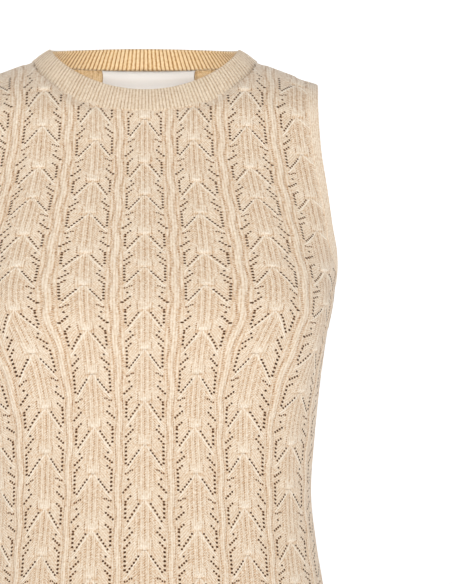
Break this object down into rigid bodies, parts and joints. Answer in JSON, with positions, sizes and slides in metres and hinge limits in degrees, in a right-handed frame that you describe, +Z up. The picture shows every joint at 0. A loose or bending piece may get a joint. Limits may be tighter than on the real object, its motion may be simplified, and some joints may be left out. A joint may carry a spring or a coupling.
{
  "type": "sleeveless crew-neck pointelle knit top",
  "caption": "Sleeveless crew-neck knit top, filled out as worn: eyelet-knit front and back in leaf columns, ribbed neckband, plain armhole borders and a ribbed hem.",
  "frame": {"origin": "middle of the neck opening at the height of its two side points, where the garment is carried by the shoulders", "axes": "+X to the right as seen from the front, -Y out of the front, +Z up the body"},
  "size_m": [0.3566, 0.2415, 0.5757],
  "materials": {
    "pointelle_knit": "fine beige viscose-blend knit with eyelets, matt with a soft sheen on the raised ribs",
    "rib_knit": "fine beige one-by-one rib, matt",
    "label_tape": "off-white woven satin tape, blank"
  },
  "bodies": {
    "root": {"front_panel": "pointelle_knit", "back_panel": "pointelle_knit", "neckband": "rib_knit", "hem_front": "rib_knit", "hem_back": "rib_knit", "neck_label": "label_tape"}
  },
  "joints": []
}
